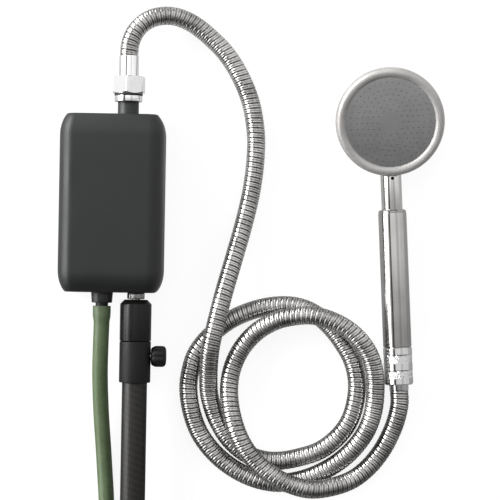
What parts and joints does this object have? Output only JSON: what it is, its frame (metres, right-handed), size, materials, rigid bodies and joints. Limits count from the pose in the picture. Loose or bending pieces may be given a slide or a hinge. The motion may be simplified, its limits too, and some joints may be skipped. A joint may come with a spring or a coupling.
{
  "type": "camp shower pump",
  "caption": "Portable battery shower pump: a rounded case on a telescoping clamp stand, with a ribbed steel hose to a round hand shower and a soft intake hose with a strainer",
  "frame": {"origin": "middle of the case's flat back face, which lies on the floor", "axes": "+X to the right seen from the front, +Y from the inlet end to the outlet end, +Z out of the front of the case"},
  "size_m": [0.4315, 0.5572, 0.046],
  "materials": {
    "case_plastic": "fine moulded texture",
    "black_plastic": "smooth satin",
    "fitting_plastic": "smooth satin",
    "chrome": "polished",
    "stainless_hose": "polished interlocked strip",
    "stainless": "brushed",
    "green_hose": "semi gloss",
    "rubber": "matte",
    "steel": "turned",
    "pole_metal": "fine anodised grain",
    "white_plastic": "plain moulded",
    "brass": "turned",
    "magnet": "dull ferrite",
    "copper": "wound copper and steel",
    "cell_wrap": "shrink wrap",
    "board": "solder mask",
    "components": "moulded"
  },
  "bodies": {
    "pump": {"front_shell": "case_plastic", "rear_cover": "case_plastic", "coil_tie": "black_plastic", "strainer_body": "black_plastic", "strainer_cap": "black_plastic", "battery_cradle": "black_plastic", "outlet_stub": "fitting_plastic", "inlet_fitting": "fitting_plastic", "outlet_adapter": "chrome", "pump_ferrule": "chrome", "head_ferrule": "chrome", "shower_hose": "stainless_hose", "handle_tube": "stainless", "neck_tube": "stainless", "head_bowl": "stainless", "head_rim": "stainless", "spray_plate": "stainless", "intake_hose": "green_hose", "intake_coil": "green_hose", "case_gasket": "rubber", "thread_seal": "rubber", "hose_washer": "rubber", "handle_washer": "rubber", "plate_gasket": "rubber", "shaft_seal": "rubber", "outlet_tube": "rubber", "case_screws": "steel", "motor_can": "steel", "charge_socket": "steel", "pump_cover": "white_plastic", "pump_housing": "white_plastic", "motor_cap": "white_plastic", "stand_insert": "brass", "motor_magnets": "magnet", "battery_cells": "cell_wrap", "circuit_board": "board", "charge_board": "board", "board_parts": "components", "button_switch": "components"},
    "rotor": {"impeller": "white_plastic", "motor_shaft": "steel", "armature": "copper"},
    "power_button": {"power_button": "case_plastic"},
    "port_plug": {"port_plug": "black_plastic"},
    "hose_nut": {"hex_nut": "chrome"},
    "handle_nut": {"knurled_nut": "chrome"},
    "stand_head": {"stand_stud": "steel", "top_cap": "black_plastic", "inner_tube": "pole_metal", "guide_bush": "white_plastic"},
    "lock_nut": {"stud_locknut": "steel"},
    "stand_pole": {"lock_collar": "black_plastic", "outer_tube": "pole_metal", "foot_socket": "black_plastic"},
    "clamp_pad": {"clamp_pad": "white_plastic"},
    "clamp_knob": {"clamp_screw": "steel", "clamp_knob": "black_plastic"}
  },
  "joints": [
    {"name": "impeller_spin", "type": "hinge", "parent": "pump", "child": "rotor", "pos_m": [-0.0065, -0.03, 0.023], "axis": [0, 1, 0], "continuous": true},
    {"name": "button_press", "type": "slide", "parent": "pump", "child": "power_button", "axis": [0, -1, 0], "range_m": [0, 0.001], "stiffness_N_per_m": 300},
    {"name": "port_plug_open", "type": "hinge", "parent": "pump", "child": "port_plug", "pos_m": [-0.0294, -0.0684, 0.023], "axis": [0, 0, -1], "range_deg": [0, 100]},
    {"name": "hose_nut_turn", "type": "hinge", "parent": "pump", "child": "hose_nut", "pos_m": [0.0115, 0.092, 0.023], "axis": [0, 1, 0], "continuous": true},
    {"name": "handle_nut_turn", "type": "hinge", "parent": "pump", "child": "handle_nut", "pos_m": [0.2257, -0.1233, 0.0113], "axis": [0.0558, -0.9984, 0], "continuous": true},
    {"name": "stand_swivel", "type": "hinge", "parent": "pump", "child": "stand_head", "pos_m": [0.02, -0.075, 0.023], "axis": [0, -1, 0], "range_deg": [-30, 120]},
    {"name": "lock_nut_turn", "type": "hinge", "parent": "stand_head", "child": "lock_nut", "pos_m": [0.02, -0.0719, 0.023], "axis": [0, 1, 0], "continuous": true},
    {"name": "pole_extend", "type": "slide", "parent": "stand_head", "child": "stand_pole", "axis": [0, -1, 0], "range_m": [0, 0.19]},
    {"name": "clamp_release", "type": "slide", "parent": "stand_pole", "child": "clamp_pad", "axis": [1, 0, 0], "range_m": [0, 0.0008]},
    {"name": "knob_turn", "type": "hinge", "parent": "clamp_pad", "child": "clamp_knob", "pos_m": [0.0382, -0.1184, 0.023], "axis": [1, 0, 0], "range_deg": [0, 360]}
  ],
  "couplings": [
    {"joint": "knob_turn", "follows": "clamp_release", "rad_per_m": 7854}
  ]
}
